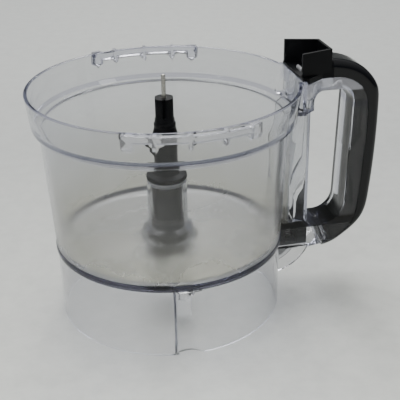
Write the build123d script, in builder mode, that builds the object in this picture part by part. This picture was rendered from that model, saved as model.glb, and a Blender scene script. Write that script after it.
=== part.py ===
"""Work bowl of a food processor: clear bowl, D handle with the lid interlock, captive drive stem.

Millimetres, +Z up. The origin is on the bowl's axis, in the plane that the skirt stands on,
and the handle points along +X.
"""
from build123d import *
import os
from math import cos, radians, sin

os.makedirs("parts", exist_ok=True)

# Driving dimensions of the bowl
wall = 2.6
rim_r = 98.0
bowl_height = 173.0
mouth_r = 95.2
mouth_depth = 6.5
band_foot_r = 95.2
band_foot_z = 150.8
wall_top_r = 90.0
wall_top_z = 145.6
wall_foot_r = 84.5
ring_r = 85.0
floor_z = 55.0
floor_underside = 52.0
skirt_r = 83.6
skirt_seat_height = 14.0

# Column and drive
column_r = 15.0
column_bore_r = 12.7
column_top = 99.5
shoulder_z = 63.3
hub_chamber_r = 17.0
hub_chamber_top = 60.4
hub_boss_foot = 39.0
shaft_r = 10.8
running_gap = 0.05
seat_gap = 0.03
pin_r = 1.6
pin_shank_r = 1.8
pin_tip_z = 180.0
pin_press_length = 35.0
stem_top_z = 163.0
collar_z = 142.0

# Lugs on the rim that hold the lid, by azimuth from the handle
lug_groups = [(-114.0, -104.2, -91.3, -78.0, -65.5), (66.0, 75.2, 88.2, 102.0, 111.0)]
lug_reach_r = 102.7
lug_height = 10.3
lug_thickness = 2.2
end_lug_thickness = 6.6
flange_height = 4.8
flange_drop_per_bay = 0.4

# Handle
handle_half_width = 14.0
side_wall = 2.5
web = 2.4
web_draft = 2.5
leg_face_x = 105.4
arm_floor = 35.0
head_half_width = 26.2
head_foot_z = 150.0
head_top_z = 171.0
head_nose_x = 114.0
recess_half_width = 23.6
recess_wall_x = 98.2
pocket_outer_x = 122.2
pocket_top = 192.3
rod_x = 94.3
rod_top_x = 101.2
foot_r = 1.5

# Screws
screw_shank_r = 1.5
screw_head_r = 2.9
pocket_screws_at = [(112.0, -6.5), (112.0, 6.5)]
grip_screw_foot = Vector(122.6, 0, 34.8)
grip_screw_direction = Vector(-8.5, 0, 19.0).normalized()
grip_screw_length = 15.0


def rounded(corners):
    """Closed outline through (x, y, corner radius) triples."""
    FilletPolyline(
        *[(x, y) for x, y, _ in corners], radius=[r for _, _, r in corners], close=True
    )


def section_plane(azimuth):
    """Upright half plane through the bowl's axis: local x is outwards, local y is up."""
    a = radians(azimuth)
    return Plane(origin=(0, 0, 0), x_dir=(cos(a), sin(a), 0), z_dir=(sin(a), -cos(a), 0))


def tangent_plane(azimuth, height=0.0):
    """Level plane on the bowl's axis: local y is outwards at the azimuth."""
    a = radians(azimuth)
    return Plane(origin=(0, 0, height), x_dir=(sin(a), -cos(a), 0), z_dir=(0, 0, 1))


def washer(label, inner_r, outer_r, bottom, top, x=0.0):
    """Flat ring on an upright axis."""
    with BuildPart() as ring:
        with BuildSketch(Plane.XY.offset(bottom)):
            with Locations((x, 0)):
                Circle(outer_r)
                Circle(inner_r, mode=Mode.SUBTRACT)
        extrude(amount=top - bottom)
    ring.part.label = label
    return ring.part


# ------------------------------------------------------------------ bowl
outer_wall = [
    (skirt_r, 0, 0.8),
    (skirt_r, skirt_seat_height, 0),
    (skirt_r + 0.4, floor_underside + 0.4, 0),
    (ring_r, floor_underside + 0.9, 0.4),
    (ring_r, floor_z + 1.4, 0.6),
    (wall_foot_r, floor_z + 2.2, 0),
    (wall_top_r, wall_top_z, 1.5),
    (band_foot_r - 0.6, band_foot_z - 2.4, 1.6),
    (band_foot_r + 0.1, band_foot_z, 0),
    (rim_r, bowl_height, 0.8),
]
inner_wall = [
    (mouth_r, bowl_height, 0.8),
    (mouth_r, bowl_height - mouth_depth, 0),
    (band_foot_r - wall, band_foot_z + 1.4, 2.0),
    (wall_top_r - wall, wall_top_z + 3.0, 2.2),
    (wall_foot_r - wall - 0.1, floor_z, 7.0),
]
column = [
    (hub_chamber_r + wall, floor_z, 3.0),
    (hub_chamber_r + wall - 0.3, shoulder_z, 3.4),
    (column_r, shoulder_z + 0.7, 1.0),
    (column_r - 0.1, column_top, 0.5),
    (column_bore_r, column_top, 0),
    (column_bore_r, hub_chamber_top, 0),
    (hub_chamber_r, hub_chamber_top, 0.5),
    (hub_chamber_r, hub_boss_foot, 0.5),
    (hub_chamber_r + wall, hub_boss_foot, 0.5),
    (hub_chamber_r + wall, floor_underside, 2.0),
]
skirt_inside = [(skirt_r - wall, floor_underside, 2.0), (skirt_r - wall, 0, 0.8)]

# The skirt is drawn in by two grooves that turn on to the base: a steep side and a ramp side.
groove_depth = 5.6
groove_half = 9.8
groove_azimuths = (-90.5, 89.5)
groove_top = floor_underside - 1.0


def groove_outline(offset):
    """Plan of one groove, grown by offset; local x is along the skirt, local y outwards."""
    deep = skirt_r - groove_depth - offset
    mouth = skirt_r + 3.0
    return [
        (groove_half + offset, mouth, 0),
        (groove_half + offset, deep + 1.2, 1.5 + offset),
        (groove_half - 6.0, deep, 3.0 + offset),
        (-1.0, deep, 3.0 + offset),
        (-groove_half - offset, skirt_r + 0.2, 2.0),
        (-groove_half - offset, mouth, 0),
    ]


with BuildPart() as bowl:
    with BuildSketch(Plane.XZ):
        with BuildLine():
            rounded(outer_wall + inner_wall + column + skirt_inside)
        make_face()
    revolve(axis=Axis.Z)

    # Lid lugs: upright ribs on the rim joined by a flange that drops a little from bay to bay
    for group in lug_groups:
        last = len(group) - 1
        for i, azimuth in enumerate(group):
            with BuildSketch(section_plane(azimuth)):
                with BuildLine():
                    rounded([
                        (mouth_r + 1.2, bowl_height, 0),
                        (lug_reach_r, bowl_height, 0.6),
                        (lug_reach_r, bowl_height - lug_height + 3.0, 1.0),
                        (lug_reach_r - 1.2, bowl_height - lug_height, 0.5),
                        (mouth_r + 0.8, bowl_height - lug_height, 0),
                    ])
                make_face()
            thickness = end_lug_thickness if i in (0, last) else lug_thickness
            extrude(amount=thickness / 2, both=True)
        for i in range(last):
            top = bowl_height - 0.5 - i * flange_drop_per_bay
            with BuildSketch(section_plane(group[i])):
                with BuildLine():
                    rounded([
                        (mouth_r + 1.2, top - flange_height, 0),
                        (lug_reach_r - 0.5, top - flange_height, 0.8),
                        (lug_reach_r - 0.5, top, 0.8),
                        (mouth_r + 1.2, top, 0),
                    ])
                make_face()
            revolve(axis=Axis.Z, revolution_arc=group[i + 1] - group[i])

    # Locking grooves: the backing wall first, then the groove itself
    for azimuth in groove_azimuths:
        with BuildSketch(tangent_plane(azimuth)):
            with BuildLine():
                rounded(groove_outline(wall))
            make_face()
            Circle(skirt_r - 1.0, mode=Mode.INTERSECT)
        extrude(amount=floor_underside)
        with BuildSketch(tangent_plane(azimuth)):
            with BuildLine():
                rounded(groove_outline(0.0))
            make_face()
        extrude(amount=groove_top, mode=Mode.SUBTRACT)
        # Half-round detent that hangs under the floor ring
        detent = tangent_plane(azimuth)
        with BuildSketch(Plane(detent.origin + detent.y_dir * (skirt_r - groove_depth - 0.5),
                               x_dir=detent.x_dir, z_dir=detent.y_dir)):
            with Locations((0.0, -(groove_top - 1.0))):
                Circle(2.8)
        extrude(amount=groove_depth - 1.2)

    # Behind the pocket the rim band opens outwards to a flat wall, so the lid's tab can pass
    with Locations((96.0, 0, bowl_height)):
        Box(12.0, 2 * recess_half_width, 2 * (bowl_height - band_foot_z - 0.4), mode=Mode.SUBTRACT)
    flat_height = bowl_height - band_foot_z + 2.2
    with Locations((recess_wall_x - wall / 2, 0, bowl_height - flat_height / 2)):
        Box(wall, 2 * (recess_half_width + wall), flat_height)
    for side in (-1, 1):
        with Locations((recess_wall_x - 3.2, side * (recess_half_width + wall / 2),
                        bowl_height - flat_height / 2)):
            Box(6.4, wall, flat_height)
    with Locations((recess_wall_x - 3.3, 0, band_foot_z - 0.9)):
        Box(6.6, 2 * (recess_half_width + wall), wall)
bowl.part.label = "bowl"
export_step(bowl.part, "parts/bowl.step")

# Space that the handle keeps clear of: the bowl's outside, filled
with BuildPart() as bowl_space:
    with BuildSketch(Plane.XZ):
        with BuildLine():
            rounded([(0, 0, 0)] + outer_wall + [(0, bowl_height, 0)])
        make_face()
    revolve(axis=Axis.Z)
    with Locations((recess_wall_x - 5.0, 0, bowl_height - flat_height / 2)):
        Box(10.0, 2 * (recess_half_width + wall), flat_height)

# ------------------------------------------------------------------ handle
seam_start = (pocket_outer_x, head_top_z)
seam_side_top = (150.7, 128.0)
seam_side_foot = (147.2, 72.0)
seam_foot = (126.4, 38.2)
seam_end = (120.0, 36.6)
gusset_foot = (82.0, skirt_seat_height + 2.0)
core_x = 70.0
nose_half_width = 17.6
seam_edge_r = 0.8
opening = [
    (leg_face_x, 54.0, 4.0),
    (leg_face_x, 161.7, 6.0),
    (138.4, 161.7, 9.5),
    (136.6, 112.0, 90.0),
    (134.6, 54.0, 16.0),
]


def seam():
    """Seam between the clear channel and the black cover, from the pocket round to the arm."""
    Spline(seam_start, (141.9, 164.9), seam_side_top, tangents=[(1, 0.06), (-0.02, -1)])
    Line(seam_side_top, seam_side_foot)
    Spline(seam_side_foot, (141.4, 49.6), seam_foot, tangents=[(-0.07, -1), (-1, -0.35)])
    Line(seam_foot, seam_end)


def head_outline(inset, nose_x):
    """Plan of the flared head, drawn in by inset, from inside the bowl's wall to its nose."""
    wide = head_half_width - inset
    narrow = handle_half_width if inset == 0.0 else nose_half_width
    flare_x = recess_wall_x + 1.2 - 0.35 * inset
    Polyline((core_x, wide), (flare_x, wide), (nose_x, narrow), (nose_x, -narrow),
             (flare_x, -wide), (core_x, -wide), close=True)


with BuildLine(Plane.XZ) as seam_line:
    seam()

with BuildPart() as handle_frame:
    # Side profile of the clear moulding
    with BuildSketch(Plane.XZ):
        with BuildLine():
            seam()
            Line(seam_end, (107.0, arm_floor))
            RadiusArc((107.0, arm_floor), gusset_foot, 36.0)
            Polyline(gusset_foot, (core_x, gusset_foot[1]), (core_x, head_top_z), seam_start)
        make_face()
    extrude(amount=handle_half_width, both=True)
    # The edge that meets the cover is softened, and shows as a fine line
    seam_edges = handle_frame.edges().filter_by(
        lambda e: abs((e @ 0.5).Y) > handle_half_width - 0.01
        and seam_line.wire().distance_to(Vertex((e @ 0.5).X, 0, (e @ 0.5).Z)) < 0.01
    )
    fillet(seam_edges, seam_edge_r)
    # Flared head of the chamber, which carries the pocket
    with BuildSketch(Plane.XY.offset(head_foot_z)):
        with BuildLine():
            head_outline(0.0, head_nose_x)
        make_face()
    extrude(amount=head_top_z - head_foot_z)
    with BuildSketch(Plane.XZ):
        with BuildLine():
            rounded(opening)
        make_face()
    extrude(amount=head_half_width, both=True, mode=Mode.SUBTRACT)

    # The channel is open outwards; a web goes all round the finger opening
    with BuildSketch(Plane.XZ):
        with BuildLine():
            Polyline((core_x, arm_floor + web), (108, arm_floor + web), (118.5, arm_floor + web + 1.6),
                     (121.5, 20), (200, 20), (200, 200), (core_x, 200), close=True)
        make_face()
        with BuildSketch(Plane.XZ, mode=Mode.SUBTRACT):
            with BuildLine():
                rounded(opening)
            make_face()
            offset(amount=web)
    extrude(amount=handle_half_width - side_wall, both=True, taper=-web_draft, mode=Mode.SUBTRACT)
    with BuildSketch(Plane.XY.offset(head_foot_z + side_wall)):
        with BuildLine():
            head_outline(side_wall, leg_face_x - web)
        make_face()
    extrude(amount=head_top_z, mode=Mode.SUBTRACT)
    # Below the arm only the two side fins of the gusset remain
    with BuildSketch(Plane.XZ):
        with BuildLine():
            Polyline((core_x, 5), (110, 5), (110, arm_floor), (core_x, arm_floor), close=True)
        make_face()
    extrude(amount=handle_half_width - side_wall, both=True, mode=Mode.SUBTRACT)
    # Bosses: two under the pocket, and a slanted one with its plate for the screw at the foot
    with BuildSketch(Plane.XY.offset(opening[1][1] + 1.0)):
        with Locations(*pocket_screws_at):
            Circle(3.2)
    extrude(amount=head_top_z - opening[1][1] - 1.0)
    boss = Plane(origin=grip_screw_foot, x_dir=(0, 1, 0), z_dir=grip_screw_direction)
    with BuildSketch(boss.offset(3.2)):
        Circle(3.4)
        Rectangle(2 * (handle_half_width - side_wall) + 0.4, 2.0)
    extrude(amount=17.0)
    with BuildSketch(Plane.XY.offset(head_top_z)):
        with Locations(*pocket_screws_at):
            Circle(screw_shank_r)
    extrude(amount=-8.0, mode=Mode.SUBTRACT)
    with BuildSketch(boss):
        Circle(screw_shank_r)
    extrude(amount=grip_screw_length + 0.4, mode=Mode.SUBTRACT)
    # Way out for the push rod's foot
    with Locations((rod_x, 0, arm_floor)):
        Cylinder(foot_r + 0.5, 10, mode=Mode.SUBTRACT)
    add(bowl_space.part, mode=Mode.SUBTRACT)
handle_frame.part.label = "handle_frame"
export_step(handle_frame.part, "parts/handle_frame.step")


# ------------------------------------------------------------------ black handle parts
cover_wall = 2.4
cover_side_wall = 3.0
cover_edge_r = 6.0
lip_outside = handle_half_width - side_wall - 0.2
lip_wall = 1.8
lip_depth_from_opening = 2.7
lip_start_x = 123.2
lip_block_centre = (114.5, 40)
lip_block_size = (19, 24)
crown_start = (pocket_outer_x, 184.0)
crown_end = (120.0, 32.6)


def crown(inset):
    """Outer line of the cover's crown, drawn in by inset."""
    Spline((crown_start[0], crown_start[1] - inset), (147.2 - 0.5 * inset, 175.2 - 0.9 * inset),
           (157.6 - 0.85 * inset, 163.0 - 0.5 * inset), (160.4 - inset, 146.0),
           tangents=[(1, -0.12), (0, -1)])
    ThreePointArc((160.4 - inset, 146.0), (159.8 - inset, 112.0), (157.0 - inset, 74.0))
    Spline((157.0 - inset, 74.0), (151.2 - 0.85 * inset, 53.4 + 0.5 * inset),
           (136.2 - 0.5 * inset, 39.6 + 0.85 * inset), (crown_end[0], crown_end[1] + inset),
           tangents=[(-0.08, -1), (-1, -0.18)])


def cover_inside():
    """Space under the crown, open to the channel, ending short of the screw at the foot."""
    crown(cover_wall)
    Polyline((crown_start[0], crown_start[1] - cover_wall), (100, 182), (100, 60), (126, 60),
             (crown_end[0], crown_end[1] + cover_wall))


foot_block_centre = (118, 40)
foot_block_size = (26, 24)

with BuildLine(Plane.XZ) as crown_line:
    crown(0.0)

with BuildPart() as grip_cover:
    with BuildSketch(Plane.XZ):
        with BuildLine():
            crown(0.0)
            Polyline(crown_start, (crown_start[0], 108), (crown_end[0], 108), crown_end)
        make_face()
    extrude(amount=handle_half_width, both=True)
    crown_edges = grip_cover.edges().filter_by(
        lambda e: abs((e @ 0.5).Y) > handle_half_width - 0.01
        and crown_line.wire().distance_to(Vertex((e @ 0.5).X, 0, (e @ 0.5).Z)) < 0.01
    )
    fillet(crown_edges, cover_edge_r)
    with BuildSketch(Plane.XZ):
        with BuildLine():
            seam()
            Polyline(seam_end, (core_x, seam_end[1]), (core_x, seam_start[1]), seam_start)
        make_face()
    extrude(amount=handle_half_width, both=True, mode=Mode.SUBTRACT)
    with BuildSketch(Plane.XZ):
        with BuildLine():
            cover_inside()
        make_face()
        with Locations(foot_block_centre):
            Rectangle(*foot_block_size, mode=Mode.SUBTRACT)
    extrude(amount=handle_half_width - cover_side_wall, both=True, mode=Mode.SUBTRACT)
    # Lips that stand inside the channel's side walls
    for side in (-1, 1):
        with BuildSketch(Plane.XZ.offset(side * lip_outside)):
            with BuildLine():
                cover_inside()
            make_face()
            with Locations(lip_block_centre):
                Rectangle(*lip_block_size, mode=Mode.SUBTRACT)
            with BuildSketch(Plane.XZ, mode=Mode.SUBTRACT):
                with BuildLine():
                    rounded(opening)
                make_face()
                offset(amount=lip_depth_from_opening)
            with Locations((lip_start_x - 50, 110)):
                Rectangle(100, 200, mode=Mode.SUBTRACT)
        extrude(amount=-side * lip_wall)
    # Countersunk way in for the screw at the foot
    with BuildSketch(Plane(origin=grip_screw_foot, z_dir=grip_screw_direction)):
        Circle(screw_shank_r)
    extrude(amount=20, mode=Mode.SUBTRACT)
    with BuildSketch(Plane(origin=grip_screw_foot, z_dir=grip_screw_direction)):
        Circle(screw_head_r)
    extrude(amount=-10, mode=Mode.SUBTRACT)
grip_cover.part.label = "grip_cover"
export_step(grip_cover.part, "parts/grip_cover.step")

# The pocket: a funnel open to the bowl, on a foot that covers the head of the chamber
pocket_foot = head_top_z + 0.05
pocket_floor = 175.2
pocket_wall = 2.0
plate_half_width = 24.4
rod_half_width = 5.0
rod_thickness = 2.4
funnel_mouth = (95.6, 21.6)
funnel_end = (120.2, handle_half_width)
funnel_cut_end = (funnel_end[0] - pocket_wall, funnel_end[1] - 1.5)
funnel_cut_mouth = (90.0, 21.3)
slot_gap = 0.5


def funnel_outline(mouth, end):
    """Plan of the funnel between its open mouth and its outer end, each as (x, half width)."""
    Polyline((mouth[0], -mouth[1]), (end[0], -end[1]), end, mouth, close=True)


with BuildPart() as interlock_pocket:
    with BuildSketch(Plane.XY.offset(pocket_foot)):
        with BuildLine():
            Polyline((recess_wall_x + 0.2, plate_half_width), (recess_wall_x + 2.0, plate_half_width),
                     (head_nose_x, handle_half_width), (pocket_outer_x, handle_half_width),
                     (pocket_outer_x, -handle_half_width), (head_nose_x, -handle_half_width),
                     (recess_wall_x + 2.0, -plate_half_width),
                     (recess_wall_x + 0.2, -plate_half_width), close=True)
        make_face()
    extrude(amount=pocket_floor - pocket_foot)
    with BuildSketch(Plane.XY.offset(bowl_height + 0.05)):
        with Locations((97.6, 0)):
            Rectangle(3.8, 2 * recess_half_width - 0.4)
    extrude(amount=pocket_floor - bowl_height - 0.05)
    # Shoulder that carries the arm's section up to the funnel
    with BuildSketch(Plane.YZ.offset(pocket_outer_x)):
        with BuildLine():
            rounded([
                (-handle_half_width, pocket_foot, 0),
                (handle_half_width, pocket_foot, 0),
                (handle_half_width, crown_start[1], cover_edge_r),
                (-handle_half_width, crown_start[1], cover_edge_r),
            ])
        make_face()
    extrude(amount=-12)
    with BuildSketch(Plane.XY.offset(pocket_floor)):
        with BuildLine():
            funnel_outline(funnel_mouth, funnel_end)
        make_face()
    extrude(amount=pocket_top - pocket_floor)
    with BuildSketch(Plane.XY.offset(pocket_floor)):
        with BuildLine():
            funnel_outline(funnel_cut_mouth, funnel_cut_end)
        make_face()
    extrude(amount=40, mode=Mode.SUBTRACT)
    with Locations((rod_top_x, 0, pocket_floor)):
        Box(rod_thickness + 2 * slot_gap, 2 * (rod_half_width + slot_gap), 20, mode=Mode.SUBTRACT)
    with Locations(*[(x, y, pocket_floor) for x, y in pocket_screws_at]):
        CounterBoreHole(screw_shank_r, screw_head_r, 2.0, depth=20)
interlock_pocket.part.label = "interlock_pocket"
export_step(interlock_pocket.part, "parts/interlock_pocket.step")

# ------------------------------------------------------------------ interlock in the chamber
rod_foot_z = 54.6
rod_jog = (138.0, 148.0)
rod_tip_z = 175.8
foot_tip_z = 33.2
foot_head = (55.0, 65.0)
collar_bottom = 52.0
insert_x = 94.6
insert_length = 23.8
insert_top = 50.8
insert_floor = arm_floor + web + 0.15
insert_wall = 1.8
spring_seat_z = insert_floor + insert_wall
spring_r = 2.35
spring_wire_r = 0.32
spring_turns = 5.5

with BuildPart() as arm_insert:
    with BuildSketch(Plane.XY.offset(insert_floor)):
        with Locations((insert_x, 0)):
            Rectangle(insert_length, 2 * lip_outside)
    extrude(amount=insert_top - insert_floor)
    with BuildSketch(Plane.XY.offset(spring_seat_z)):
        with Locations((insert_x, 0)):
            Rectangle(insert_length - 2 * insert_wall, 2 * (lip_outside - insert_wall))
    extrude(amount=20, mode=Mode.SUBTRACT)
    # Cross wall behind the spring, and the window that shows it
    with Locations((rod_x + 5.6, 0, (insert_floor + insert_top) / 2)):
        Box(insert_wall, 2 * lip_outside, insert_top - insert_floor)
    with Locations((rod_x - 0.4, -lip_outside, spring_seat_z + 10)):
        Box(9.0, 6.0, 20, mode=Mode.SUBTRACT)
    with Locations((rod_x, 0, insert_floor)):
        Cylinder(foot_r + 0.3, 10, mode=Mode.SUBTRACT)
    add(bowl_space.part, mode=Mode.SUBTRACT)
arm_insert.part.label = "arm_insert"
export_step(arm_insert.part, "parts/arm_insert.step")

spring_seat = washer("spring_seat", foot_r + 0.3, 3.3, spring_seat_z, spring_seat_z + 0.5, rod_x)
export_step(spring_seat, "parts/spring_seat.step")

with BuildPart() as push_rod:
    with BuildSketch(Plane.XZ):
        with BuildLine() as rod_line:
            FilletPolyline((rod_x, rod_foot_z + rod_thickness / 2), (rod_x, rod_jog[0]),
                           (rod_top_x, rod_jog[1]), (rod_top_x, rod_tip_z), radius=3.0)
            offset(amount=rod_thickness / 2, side=Side.BOTH)
        make_face()
    extrude(amount=rod_half_width, both=True)
    with Locations((rod_x, 0, sum(foot_head) / 2)):
        Box(10, 2 * foot_r + 0.4, foot_head[1] - foot_head[0], mode=Mode.SUBTRACT)
    with Locations((rod_x, 0, rod_foot_z)):
        Box(10, 2 * foot_r + 0.4, 4, mode=Mode.SUBTRACT)
push_rod.part.label = "push_rod"
export_step(push_rod.part, "parts/push_rod.step")

with BuildPart() as rod_foot:
    with BuildSketch(Plane.XY.offset(foot_tip_z)):
        with Locations((rod_x, 0)):
            Circle(foot_r)
    extrude(amount=rod_foot_z - foot_tip_z)
    with BuildSketch(Plane.XY.offset(collar_bottom)):
        with Locations((rod_x, 0)):
            Circle(3.2)
    extrude(amount=rod_foot_z - collar_bottom)
    with Locations((rod_x, 0, (foot_head[1] + rod_foot_z - 0.1) / 2)):
        Box(rod_thickness + 0.8, 2 * foot_r + 0.4, foot_head[1] - rod_foot_z + 0.1)
rod_foot.part.label = "rod_foot"
export_step(rod_foot.part, "parts/rod_foot.step")

spring_low = spring_seat_z + 0.5 + spring_wire_r
spring_high = collar_bottom - spring_wire_r
with BuildPart() as return_spring:
    with BuildLine(Plane.XY.offset(spring_low)):
        Helix((spring_high - spring_low) / spring_turns, spring_high - spring_low, spring_r)
    with BuildSketch(Plane(origin=(spring_r, 0, spring_low), z_dir=(0, 1, 0))):
        Circle(spring_wire_r)
    sweep(is_frenet=True)
return_spring.part = return_spring.part.moved(Location((rod_x, 0, 0)))
return_spring.part.label = "return_spring"
export_step(return_spring.part, "parts/return_spring.step")


def screw(origin, direction, length, head_height=1.8):
    """Pan-head screw with a cross recess; the head's seat is at the origin."""
    seat = Plane(origin=origin, z_dir=direction)
    with BuildPart() as one:
        with BuildSketch(seat):
            Circle(screw_shank_r)
        extrude(amount=length)
        with BuildSketch(seat):
            Circle(screw_head_r - 0.2)
        extrude(amount=-head_height)
        with BuildSketch(seat.offset(-head_height)):
            Rectangle(3.2, 0.8)
            Rectangle(0.8, 3.2)
        extrude(amount=1.0, mode=Mode.SUBTRACT)
    return one.part


grip_screw = screw(grip_screw_foot, grip_screw_direction, grip_screw_length)
grip_screw.label = "grip_screw"
export_step(grip_screw, "parts/grip_screw.step")

pocket_screws = Compound(children=[
    screw((x, y, pocket_floor - 2.0), (0, 0, -1), 7.5) for x, y in pocket_screws_at
])
pocket_screws.label = "pocket_screws"
export_step(pocket_screws, "parts/pocket_screws.step")

# ------------------------------------------------------------------ drive in the column
hub_r = hub_chamber_r - 0.4
hub_top = 58.6
hub_foot = hub_boss_foot + 1.2
tang_r = 6.0
tang_flat = 4.6
tang_foot = 50.5
socket_r = 11.0
socket_top = 49.0
pilot_r = 8.0
spline_count = 6
flange_r = 15.2
flange_z = 101.0
neck_r = 8.7
collar_r = 8.0
blade_r = 7.25
blade_flat = 6.55
blade_flat_height = 16.0
notch_side = 2.6
notch_height = 14.0
notch_azimuth = -100.0

with BuildPart() as drive_stem:
    with BuildSketch(Plane.XZ):
        with BuildLine():
            rounded([
                (0, tang_foot, 0),
                (tang_r, tang_foot, 0.4),
                (tang_r, hub_top, 0),
                (shaft_r, hub_top, 0.3),
                (shaft_r, flange_z, 0),
                (flange_r - 0.5, flange_z, 0.5),
                (flange_r, flange_z + 1.2, 0.8),
                (flange_r, flange_z + 3.6, 1.4),
                (neck_r + 1.7, flange_z + 4.9, 1.0),
                (neck_r, flange_z + 7.5, 2.0),
                (neck_r + 0.4, collar_z - 6.0, 0.5),
                (collar_r - 0.3, collar_z - 0.8, 0.6),
                (collar_r, collar_z, 0.3),
                (collar_r, collar_z + 2.0, 0.3),
                (blade_r, collar_z + 2.6, 0),
                (blade_r, stem_top_z, 0.4),
                (0, stem_top_z, 0),
            ])
        make_face()
    revolve(axis=Axis.Z)
    # Drive faces for the blade: two flats and two V notches that run down from the top
    blade_plane = tangent_plane(notch_azimuth, stem_top_z)
    with BuildSketch(blade_plane):
        with Locations((blade_flat + 2.0, 0), (-blade_flat - 2.0, 0)):
            Rectangle(4.0, 2 * collar_r)
    extrude(amount=-blade_flat_height, mode=Mode.SUBTRACT)
    with BuildSketch(blade_plane):
        with Locations((0, blade_r + 0.35), (0, -blade_r - 0.35)):
            Rectangle(notch_side, notch_side, rotation=45)
    extrude(amount=-notch_height, mode=Mode.SUBTRACT)
    # Tang that turns the hub, and the bores for the steel pin and the hub's screw
    with BuildSketch(Plane.XY.offset(tang_foot)):
        with Locations((0, tang_flat + 3), (0, -tang_flat - 3)):
            Rectangle(14, 6)
    extrude(amount=hub_top - tang_foot, mode=Mode.SUBTRACT)
    with BuildSketch(Plane.XY.offset(stem_top_z)):
        Circle(pin_shank_r)
    extrude(amount=-pin_press_length, mode=Mode.SUBTRACT)
    with BuildSketch(Plane.XY.offset(tang_foot)):
        Circle(screw_shank_r)
    extrude(amount=12, mode=Mode.SUBTRACT)
drive_stem.part.label = "drive_stem"
export_step(drive_stem.part, "parts/drive_stem.step")

with BuildPart() as stem_pin:
    with BuildSketch(Plane.XY.offset(stem_top_z - pin_press_length)):
        Circle(pin_shank_r)
    extrude(amount=pin_press_length)
    with BuildSketch(Plane.XY.offset(stem_top_z)):
        Circle(pin_r)
    extrude(amount=pin_tip_z - stem_top_z)
    fillet(stem_pin.edges().group_by(Axis.Z)[-1], pin_r - 0.5)
stem_pin.part.label = "stem_pin"
export_step(stem_pin.part, "parts/stem_pin.step")

with BuildPart() as drive_coupling:
    with BuildSketch(Plane.XY.offset(hub_foot)):
        Circle(hub_r)
        Circle(socket_r, mode=Mode.SUBTRACT)
    extrude(amount=socket_top - hub_foot)
    with BuildSketch(Plane.XY.offset(socket_top)):
        Circle(hub_r)
        Circle(screw_shank_r + 0.2, mode=Mode.SUBTRACT)
    extrude(amount=hub_top - socket_top)
    with BuildSketch(Plane.XY.offset(tang_foot)):
        Circle(tang_r)
        Rectangle(14, 2 * tang_flat, mode=Mode.INTERSECT)
    extrude(amount=hub_top - tang_foot, mode=Mode.SUBTRACT)
    chamfer(drive_coupling.edges().filter_by(GeomType.CIRCLE).group_by(Axis.Z)[0], 0.6)
    # Ribs round the hub
    with BuildSketch(Plane.XY.offset(hub_foot + 3)):
        with PolarLocations(hub_r, 12):
            Circle(1.1)
    extrude(amount=hub_top - hub_foot - 6, mode=Mode.SUBTRACT)
drive_coupling.part.label = "drive_coupling"
export_step(drive_coupling.part, "parts/drive_coupling.step")

with BuildPart() as coupling_insert:
    with BuildSketch(Plane.XY.offset(hub_foot + 0.6)):
        Circle(socket_r)
        Circle(pilot_r, mode=Mode.SUBTRACT)
    extrude(amount=3.4)
    with BuildSketch(Plane.XY.offset(hub_foot + 4.0)):
        Circle(socket_r)
        Circle(pilot_r - 1.3, mode=Mode.SUBTRACT)
        with PolarLocations(pilot_r - 1.3, spline_count):
            Circle(1.3, mode=Mode.SUBTRACT)
    extrude(amount=socket_top - hub_foot - 4.0)
coupling_insert.part.label = "coupling_insert"
export_step(coupling_insert.part, "parts/coupling_insert.step")

coupling_screw = screw((0, 0, socket_top), (0, 0, 1), 12.5)
coupling_screw.label = "coupling_screw"
export_step(coupling_screw, "parts/coupling_screw.step")

thrust_washer = washer("thrust_washer", shaft_r, 15.5, hub_top, hub_top + 0.6)
export_step(thrust_washer, "parts/thrust_washer.step")


def bush(label, corners):
    """Sleeve bearing turned from a section of (x, z, corner radius) triples."""
    with BuildPart() as sleeve:
        with BuildSketch(Plane.XZ):
            with BuildLine():
                rounded(corners)
            make_face()
        revolve(axis=Axis.Z)
    sleeve.part.label = label
    return sleeve.part


bearing_r = shaft_r + running_gap
sleeve_r = column_bore_r - seat_gap
lower_bush = bush("lower_bush", [
    (bearing_r, 59.5, 0),
    (hub_r - 0.6, 59.5, 0),
    (hub_r - 0.6, hub_chamber_top - seat_gap, 0),
    (sleeve_r, hub_chamber_top - seat_gap, 0),
    (sleeve_r, 68.0, 0.4),
    (bearing_r, 68.0, 0.4),
])
export_step(lower_bush, "parts/lower_bush.step")

upper_bush = bush("upper_bush", [
    (bearing_r, column_top - 2.4, 0.4),
    (sleeve_r, column_top - 2.4, 0.4),
    (sleeve_r, column_top + seat_gap, 0),
    (column_r - 0.4, column_top + seat_gap, 0),
    (column_r - 0.4, column_top + 1.1, 0.4),
    (bearing_r, column_top + 1.1, 0),
])
export_step(upper_bush, "parts/upper_bush.step")

seal_z = 68.3
shaft_seal = bush("shaft_seal", [
    (bearing_r, seal_z + 1.6, 0.1),
    (bearing_r + 0.6, seal_z + 0.2, 0.1),
    (sleeve_r, seal_z, 0),
    (sleeve_r, seal_z + 2.8, 0),
    (bearing_r + 0.7, seal_z + 2.8, 0.2),
])
export_step(shaft_seal, "parts/shaft_seal.step")
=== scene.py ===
"""Looks of a food processor's work bowl: clear moulding, black grip, interlock and drive stem.

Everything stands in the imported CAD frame: metres, +Z up, the bowl's axis on Z, the handle
along +X.
"""
import math

import bmesh
import bpy
from mathutils import Matrix, Vector


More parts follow.
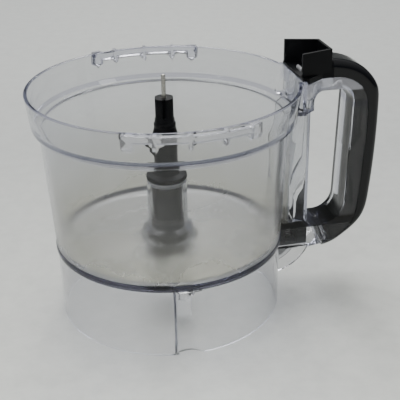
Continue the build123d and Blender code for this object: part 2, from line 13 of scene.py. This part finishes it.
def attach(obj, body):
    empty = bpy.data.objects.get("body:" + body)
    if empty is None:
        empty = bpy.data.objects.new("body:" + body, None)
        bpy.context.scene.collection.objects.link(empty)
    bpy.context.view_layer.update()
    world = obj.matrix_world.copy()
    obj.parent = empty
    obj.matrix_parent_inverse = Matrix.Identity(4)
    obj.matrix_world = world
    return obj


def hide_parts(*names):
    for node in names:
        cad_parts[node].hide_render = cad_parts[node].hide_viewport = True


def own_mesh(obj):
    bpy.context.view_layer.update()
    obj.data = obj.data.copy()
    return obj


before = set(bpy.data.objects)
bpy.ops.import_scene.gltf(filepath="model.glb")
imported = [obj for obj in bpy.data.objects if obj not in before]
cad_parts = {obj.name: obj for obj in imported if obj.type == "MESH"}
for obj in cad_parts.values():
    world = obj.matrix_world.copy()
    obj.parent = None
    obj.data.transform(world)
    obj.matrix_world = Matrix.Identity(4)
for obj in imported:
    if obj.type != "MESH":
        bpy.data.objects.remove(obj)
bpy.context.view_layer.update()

# Heights of the bowl's floor and of the step below its rim
FLOOR_Z = 0.055
STEP_Z = 0.1486
# Radii beyond which the wall is thickest, at the floor, the step, the rim and the lid lugs;
# beyond them the clear colour carries painted shade, and on the lugs a painted highlight
BEAD_R = 0.0834
STEP_R = 0.0926
RIM_BAND_R = 0.0948
LUG_R = 0.0984
RIM_LOW, RIM_TOP = 0.1720, 0.1740


# ------------------------------------------------------------------ shader helpers
def new_material(name):
    """An empty node material with a Principled shader on its output."""
    mat = bpy.data.materials.new(name)
    mat.use_nodes = True
    tree = mat.node_tree
    tree.nodes.clear()
    shader = tree.nodes.new("ShaderNodeBsdfPrincipled")
    out = tree.nodes.new("ShaderNodeOutputMaterial")
    tree.links.new(shader.outputs["BSDF"], out.inputs["Surface"])
    return mat, tree, shader


def places(tree):
    """Object coordinates, in metres from the bowl's origin."""
    return tree.nodes.new("ShaderNodeTexCoord").outputs["Object"]


def noise(tree, vector, scale, detail=3.0, rough=0.5, stretch=(1, 1, 1)):
    """Noise value at vector, which stretch squeezes first."""
    mapping = tree.nodes.new("ShaderNodeMapping")
    mapping.inputs["Scale"].default_value = stretch
    tree.links.new(vector, mapping.inputs["Vector"])
    tex = tree.nodes.new("ShaderNodeTexNoise")
    tex.inputs["Scale"].default_value = scale
    tex.inputs["Detail"].default_value = detail
    tex.inputs["Roughness"].default_value = rough
    tree.links.new(mapping.outputs["Vector"], tex.inputs["Vector"])
    return tex.outputs["Fac"]


def remap(tree, value, low, high, to_low, to_high, smooth=False):
    """value taken from the range low..high to to_low..to_high, clamped."""
    node = tree.nodes.new("ShaderNodeMapRange")
    node.interpolation_type = "SMOOTHSTEP" if smooth else "LINEAR"
    for key, number in (
        ("From Min", low), ("From Max", high), ("To Min", to_low), ("To Max", to_high),
    ):
        node.inputs[key].default_value = number
    tree.links.new(value, node.inputs["Value"])
    return node.outputs["Result"]


def combine(tree, operation, a, b):
    """a and b, sockets or numbers, through one math operation."""
    node = tree.nodes.new("ShaderNodeMath")
    node.operation = operation
    for socket, value in zip(node.inputs, (a, b)):
        if isinstance(value, (int, float)):
            socket.default_value = value
        else:
            tree.links.new(value, socket)
    return node.outputs[0]


def blend_colours(tree, factor, first, second):
    """The colour first at factor 0 and second at factor 1."""
    node = tree.nodes.new("ShaderNodeMix")
    node.data_type = "RGBA"
    node.inputs["A"].default_value = (*first, 1)
    node.inputs["B"].default_value = (*second, 1)
    tree.links.new(factor, node.inputs["Factor"])
    return node.outputs["Result"]


def veil(tree, factor, under, colour):
    """The colour socket under, covered by colour as far as factor says."""
    node = tree.nodes.new("ShaderNodeMix")
    node.data_type = "RGBA"
    node.inputs["B"].default_value = (*colour, 1)
    tree.links.new(under, node.inputs["A"])
    tree.links.new(factor, node.inputs["Factor"])
    return node.outputs["Result"]


def bump(tree, shader, height, distance, strength=1.0):
    """Bump from height, at most distance metres high."""
    node = tree.nodes.new("ShaderNodeBump")
    node.inputs["Strength"].default_value = strength
    node.inputs["Distance"].default_value = distance
    tree.links.new(height, node.inputs["Height"])
    tree.links.new(node.outputs["Normal"], shader.inputs["Normal"])


def axis(tree, vector, name):
    """One coordinate of vector."""
    node = tree.nodes.new("ShaderNodeSeparateXYZ")
    tree.links.new(vector, node.inputs[0])
    return node.outputs[name]


def radius(tree, vector):
    """Distance of vector from the upright axis."""
    flat = tree.nodes.new("ShaderNodeVectorMath")
    flat.operation = "MULTIPLY"
    flat.inputs[1].default_value = (1, 1, 0)
    size = tree.nodes.new("ShaderNodeVectorMath")
    size.operation = "LENGTH"
    tree.links.new(vector, flat.inputs[0])
    tree.links.new(flat.outputs["Vector"], size.inputs[0])
    return size.outputs["Value"]


def let_lamps_through(tree, shader, tint, turns=None):
    """Lamp rays pass the shader with a tint, so that clear plastic throws a light shadow.

    With turns, so do rays that were mirrored inside the walls more than that many times.
    """
    path = tree.nodes.new("ShaderNodeLightPath")
    clear = tree.nodes.new("ShaderNodeBsdfTransparent")
    clear.inputs["Color"].default_value = (*tint, 1)
    out = next(n for n in tree.nodes if n.type == "OUTPUT_MATERIAL")
    last = shader.outputs["BSDF"]
    gates = [path.outputs["Is Shadow Ray"]]
    if turns is not None:
        gates.insert(0, combine(tree, "GREATER_THAN", path.outputs["Glossy Depth"], turns + 0.5))
    for gate in gates:
        mix = tree.nodes.new("ShaderNodeMixShader")
        tree.links.new(gate, mix.inputs["Fac"])
        tree.links.new(last, mix.inputs[1])
        tree.links.new(clear.outputs["BSDF"], mix.inputs[2])
        last = mix.outputs["Shader"]
    tree.links.new(last, out.inputs["Surface"])


def absorb(tree, colour, density):
    """Clear material takes light away along the way through it."""
    inside = tree.nodes.new("ShaderNodeVolumeAbsorption")
    inside.inputs["Color"].default_value = (*colour, 1)
    inside.inputs["Density"].default_value = density
    out = next(n for n in tree.nodes if n.type == "OUTPUT_MATERIAL")
    tree.links.new(inside.outputs["Volume"], out.inputs["Volume"])


def ring(tree, out, inner, height, low, high):
    """1 on the part of a wall beyond the radius inner and between two heights, else 0."""
    soft = 0.0005
    beyond = remap(tree, out, inner, inner + soft, 0.0, 1.0)
    above = remap(tree, height, low, low + soft, 0.0, 1.0)
    below = remap(tree, height, high - soft, high, 1.0, 0.0)
    return combine(tree, "MULTIPLY", beyond, combine(tree, "MULTIPLY", above, below))


# ------------------------------------------------------------------ materials
def clear_plastic():
    """Clear moulding: polished rim and skirt, a wall hazed by use towards the bowl's floor,
    painted shade rings at the floor, step and rim, and painted highlights on the lugs.
    """
    mat, tree, shader = new_material("clear_plastic")
    where = places(tree)
    height = axis(tree, where, "Z")
    out = radius(tree, where)
    haze = remap(tree, noise(tree, where, 22.0, 4.0), 0.3, 0.7, 0.75, 1.15)
    for mask in (
        remap(tree, height, FLOOR_Z + 0.002, STEP_Z - 0.012, 1.0, 0.0),
        remap(tree, height, FLOOR_Z - 0.0022, FLOOR_Z - 0.0005, 0.0, 1.0),
        remap(tree, out, 0.0910, 0.0918, 1.0, 0.0),
        remap(tree, out, 0.0155, 0.0210, 0.25, 1.0),
    ):
        haze = combine(tree, "MULTIPLY", haze, mask)
    # Painted shade: dark rings in the colour round the floor, the step and the rim, where the
    # wall is thickest, stand in for the dark lines that the thick clear wall shows
    bead_painted_shade = ring(tree, out, BEAD_R, height, 0.0518, 0.0577)
    step = ring(tree, out, STEP_R, height, 0.1468, 0.1513)
    rim = ring(tree, out, RIM_BAND_R, height, RIM_LOW, RIM_TOP)
    # Painted highlight: the lugs are made rougher, milky and whiter so that they read bright
    lugs = ring(tree, out, LUG_R, height, 0.1600, RIM_TOP)
    # Painted shade: the skirt below the floor is darkened in the colour, in place of the shade
    # under the bowl
    skirt = remap(tree, height, 0.0500, 0.0515, 1.0, 0.0)
    scratches = noise(tree, where, 260.0, 2.0, 0.6, (1, 1, 0.06))
    fine = remap(tree, scratches, 0.35, 0.75, 0.0, 0.012)
    rough = combine(tree, "ADD", combine(tree, "MULTIPLY", haze, 0.30), fine)
    rough = combine(tree, "ADD", combine(tree, "MULTIPLY", lugs, 0.10), rough)
    # Less transmission from the real haze, and from a painted highlight on the lugs
    haze_and_painted_lug_highlight = combine(tree, "ADD", combine(tree, "MULTIPLY", haze, 0.06),
                    combine(tree, "MULTIPLY", lugs, 0.22))
    tree.links.new(rough, shader.inputs["Roughness"])
    tree.links.new(combine(tree, "SUBTRACT", 1.0, haze_and_painted_lug_highlight), shader.inputs["Transmission Weight"])
    colour = blend_colours(tree, haze, (0.85, 0.857, 0.868), (0.68, 0.672, 0.59))
    # Painted shade on the skirt, the floor bead, the step and the rim; painted highlight on the
    # lugs
    for place, shade in (
        (skirt, (0.79, 0.79, 0.795)), (bead_painted_shade, (0.008, 0.008, 0.014)), (step, (0.50, 0.50, 0.59)),
        (rim, (0.42, 0.42, 0.54)), (lugs, (0.93, 0.94, 0.99)),
    ):
        colour = veil(tree, place, colour, shade)
    tree.links.new(colour, shader.inputs["Base Color"])
    shader.inputs["IOR"].default_value = 1.36
    bump(tree, shader, noise(tree, where, 30.0, 1.0), 0.00012, 0.35)
    let_lamps_through(tree, shader, (0.87, 0.875, 0.885), turns=2)
    absorb(tree, (0.20, 0.22, 0.40), 28.0)
    return mat


def gloss_black():
    """Polished black moulding with fine hairlines and fingerprints in its gloss."""
    mat, tree, shader = new_material("gloss_black")
    where = places(tree)
    smears = remap(tree, noise(tree, where, 55.0, 5.0, 0.6), 0.35, 0.75, 0.07, 0.20)
    hairs = remap(tree, noise(tree, where, 500.0, 2.0, 0.5, (1, 1, 0.05)), 0.5, 0.8, 0.0, 0.08)
    tree.links.new(combine(tree, "ADD", smears, hairs), shader.inputs["Roughness"])
    tree.links.new(blend_colours(tree, smears, (0.002, 0.0025, 0.004), (0.005, 0.006, 0.008)),
                   shader.inputs["Base Color"])
    shader.inputs["Specular IOR Level"].default_value = 0.27
    bump(tree, shader, noise(tree, where, 38.0, 1.0), 0.0001, 0.3)
    return mat


def satin_black(name="satin_black", light=0.004, rough=0.38, shine=0.1):
    """Satin moulded black plastic with a fine spark-eroded grain."""
    mat, tree, shader = new_material(name)
    where = places(tree)
    grain = noise(tree, where, 1800.0, 2.0, 0.6)
    wear = noise(tree, where, 70.0, 4.0)
    tree.links.new(remap(tree, wear, 0.3, 0.7, rough - 0.07, rough + 0.10),
                   shader.inputs["Roughness"])
    fresh = (light * 0.8, light * 0.88, light * 1.1)
    worn = (light * 1.3, light * 1.4, light * 1.7)
    tree.links.new(blend_colours(tree, wear, fresh, worn), shader.inputs["Base Color"])
    shader.inputs["Specular IOR Level"].default_value = shine
    bump(tree, shader, grain, 0.00004, 0.5)
    return mat


def turned_steel(name="turned_steel", colour=(0.50, 0.49, 0.45), rough=0.28):
    """Steel with fine marks of turning round the upright axis."""
    mat, tree, shader = new_material(name)
    where = places(tree)
    marks = noise(tree, where, 900.0, 3.0, 0.6, (0.15, 0.15, 3.0))
    tree.links.new(remap(tree, marks, 0.3, 0.7, rough - 0.08, rough + 0.12),
                   shader.inputs["Roughness"])
    tree.links.new(blend_colours(tree, marks, colour, tuple(c * 0.75 for c in colour)),
                   shader.inputs["Base Color"])
    shader.inputs["Metallic"].default_value = 1.0
    bump(tree, shader, marks, 0.00002, 0.5)
    return mat


def natural_plastic():
    """Milky translucent moulding of the push rod."""
    mat, tree, shader = new_material("natural_plastic")
    where = places(tree)
    cloud = noise(tree, where, 120.0, 3.0, 0.5, (1, 1, 0.2))
    tree.links.new(remap(tree, cloud, 0.3, 0.7, 0.28, 0.42), shader.inputs["Roughness"])
    tree.links.new(blend_colours(tree, cloud, (0.86, 0.87, 0.88), (0.80, 0.81, 0.82)),
                   shader.inputs["Base Color"])
    shader.inputs["Transmission Weight"].default_value = 0.72
    shader.inputs["IOR"].default_value = 1.45
    let_lamps_through(tree, shader, (0.6, 0.6, 0.6))
    return mat


def seal_rubber():
    """Dull moulded rubber."""
    mat, tree, shader = new_material("seal_rubber")
    where = places(tree)
    dust = noise(tree, where, 200.0, 4.0)
    tree.links.new(blend_colours(tree, dust, (0.018, 0.018, 0.019), (0.035, 0.034, 0.033)),
                   shader.inputs["Base Color"])
    tree.links.new(remap(tree, dust, 0.3, 0.7, 0.6, 0.8), shader.inputs["Roughness"])
    bump(tree, shader, noise(tree, where, 900.0, 2.0), 0.00005, 0.4)
    return mat


def table_cloth():
    """Pale matt work surface with a faint mottle, its colour lighter near the front and darker
    towards the back as painted light falloff.
    """
    mat, tree, shader = new_material("table")
    where = places(tree)
    mottle = noise(tree, where, 60.0, 6.0, 0.65)
    # Painted light: lighter towards the front of the table, darker towards the back, in place of
    # the lamps' falloff
    painted_falloff = remap(tree, axis(tree, where, "Y"), -0.28, 0.30, 0.0, 1.0)
    colour_with_painted_falloff = blend_colours(tree, painted_falloff, (0.84, 0.85, 0.79), (0.505, 0.518, 0.50))
    spots = remap(tree, mottle, 0.40, 0.66, 0.0, 0.14)
    tree.links.new(veil(tree, spots, colour_with_painted_falloff, (0.28, 0.29, 0.28)), shader.inputs["Base Color"])
    shader.inputs["Roughness"].default_value = 0.8
    bump(tree, shader, mottle, 0.0006, 0.3)
    return mat


MATERIALS = {
    "clear": clear_plastic(),
    "gloss": gloss_black(),
    "satin": satin_black(),
    "bush": satin_black("bush_plastic", 0.02, 0.45),
    "steel": turned_steel(),
    "spring": turned_steel("spring_steel", (0.62, 0.61, 0.58), 0.22),
    "natural": natural_plastic(),
    "rubber": seal_rubber(),
}
NODE_FINISH = {
    "grip_cover": "gloss",
    "interlock_pocket": "satin",
    "arm_insert": "satin",
    "rod_foot": "satin",
    "drive_stem": "satin",
    "drive_coupling": "satin",
    "upper_bush": "natural",
    "lower_bush": "bush",
    "shaft_seal": "rubber",
    "stem_pin": "steel",
    "pocket_screws": "steel",
    "grip_screw": "steel",
    "coupling_insert": "steel",
    "coupling_screw": "steel",
    "thrust_washer": "bush",
    "spring_seat": "steel",
    "return_spring": "spring",
    "push_rod": "natural",
}
for node, finish in NODE_FINISH.items():
    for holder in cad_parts[node].material_slots:
        holder.material = MATERIALS[finish]


# ------------------------------------------------------------------ clear moulding
def welded_copy(node):
    """The CAD node's mesh as one closed skin in a new object."""
    bm = bmesh.new()
    bm.from_mesh(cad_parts[node].data)
    bmesh.ops.remove_doubles(bm, verts=bm.verts, dist=1e-6)
    mesh = bpy.data.meshes.new(node + "_skin")
    bm.to_mesh(mesh)
    bm.free()
    mesh.materials.append(MATERIALS["clear"])
    made = bpy.data.objects.new(node + "_skin", mesh)
    bpy.context.scene.collection.objects.link(made)
    return made


def joined(first, second):
    """first with second united into it, without inner faces."""
    unite = first.modifiers.new("unite", "BOOLEAN")
    unite.operation = "UNION"
    unite.solver = "EXACT"
    unite.object = second
    bpy.context.view_layer.update()
    united = first.evaluated_get(bpy.context.evaluated_depsgraph_get())
    mesh = bpy.data.meshes.new_from_object(united)
    first.modifiers.clear()
    first.data = mesh
    bpy.data.objects.remove(second)
    return first


moulding = joined(welded_copy("bowl"), welded_copy("handle_frame"))
moulding.name = "clear_moulding"
moulding.data.polygons.foreach_set("use_smooth", [True] * len(moulding.data.polygons))
moulding.data.set_sharp_from_angle(angle=math.radians(34))
flats = moulding.modifiers.new("true_flats", "WEIGHTED_NORMAL")
flats.mode = "FACE_AREA_WITH_ANGLE"
flats.weight = 80
flats.keep_sharp = True
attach(moulding, "bowl")
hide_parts("bowl", "handle_frame")


# ------------------------------------------------------------------ return spring
def shortening_spring():
    """The CAD spring's mesh copied into a piece of its own, held by the bowl, with the CAD part
    hidden.
    """
    piece = bpy.data.objects.new("coil_spring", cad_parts["return_spring"].data.copy())
    bpy.context.scene.collection.objects.link(piece)
    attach(piece, "bowl")
    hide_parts("return_spring")
    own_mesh(piece)


shortening_spring()


# ------------------------------------------------------------------ stage, lights, camera
def sweep_floor():
    """Pale table that rises into a backdrop far behind the bowl."""
    near, far, wide, lift_r, top = -3.2, 3.2, 4.0, 0.9, 3.0
    line = [(near, 0.0), (far - lift_r, 0.0)]
    turns = 12
    for i in range(1, turns + 1):
        a = math.radians(90 * i / turns)
        line.append((far - lift_r + lift_r * math.sin(a), lift_r - lift_r * math.cos(a)))
    line.append((far, top))
    bm = bmesh.new()
    rows = [[bm.verts.new((x, y, z)) for x in (-wide, wide)] for y, z in line]
    for a, b in zip(rows, rows[1:]):
        bm.faces.new((a[0], a[1], b[1], b[0]))
    mesh = bpy.data.meshes.new("table")
    bm.to_mesh(mesh)
    bm.free()
    mesh.polygons.foreach_set("use_smooth", [True] * len(mesh.polygons))
    table = bpy.data.objects.new("table", mesh)
    table.rotation_euler = (0, 0, -VIEW_HEADING)
    bpy.context.scene.collection.objects.link(table)
    mesh.materials.append(table_cloth())


def softbox(name, place, target, size, power, colour=(1, 1, 1)):
    """A soft rectangular lamp at place that looks at target."""
    lamp = bpy.data.lights.new(name, "AREA")
    lamp.shape = "RECTANGLE"
    lamp.size, lamp.size_y = size
    lamp.energy = power
    lamp.color = colour
    made = bpy.data.objects.new(name, lamp)
    made.location = place
    made.rotation_euler = (Vector(target) - Vector(place)).to_track_quat("-Z", "Y").to_euler()
    bpy.context.scene.collection.objects.link(made)


def room_light():
    """Even light of a room: bright overhead, dim near the horizon."""
    world = bpy.data.worlds.new("room")
    world.use_nodes = True
    tree = world.node_tree
    back = tree.nodes["Background"]
    where = tree.nodes.new("ShaderNodeTexCoord").outputs["Generated"]
    up = axis(tree, where, "Z")
    ramp = remap(tree, up, 0.0, 0.9, 0.0, 1.0, smooth=True)
    tree.links.new(blend_colours(tree, ramp, (0.14, 0.15, 0.17), (1.0, 1.0, 1.0)),
                   back.inputs["Color"])
    back.inputs["Strength"].default_value = 0.78
    bpy.context.scene.world = world


VIEW_HEADING = math.radians(12.5)
VIEW_PITCH = math.radians(25.565)
VIEW_ROLL = math.radians(-1.088)
RIM_R = 0.098
sweep_floor()
room_light()
softbox("key", (0.15, 0.75, 1.5), (0, 0, 0.05), (1.2, 0.9), 20)
softbox("fill", (-1.2, -0.9, 0.9), (0, 0, 0.1), (0.9, 0.9), 6)
softbox("window", (0.35, 1.5, 1.35), (0, 0, 0.1), (0.45, 0.3), 9)

camera = bpy.data.objects.new("camera", bpy.data.cameras.new("camera"))
camera.data.sensor_width = 36
camera.data.lens = 80.56
camera.data.clip_start = 0.05
# Where the camera stands, in rim radii, before the turn by its heading
stand = Vector((0.2481, -6.1783, 3.787)) * RIM_R
turn = Matrix.Rotation(-VIEW_HEADING, 4, "Z")
tilt = Matrix.Rotation(math.pi / 2 - VIEW_PITCH, 4, "X")
camera.matrix_world = turn @ Matrix.Translation(stand) @ tilt @ Matrix.Rotation(VIEW_ROLL, 4, "Z")
bpy.context.scene.collection.objects.link(camera)
bpy.context.scene.camera = camera
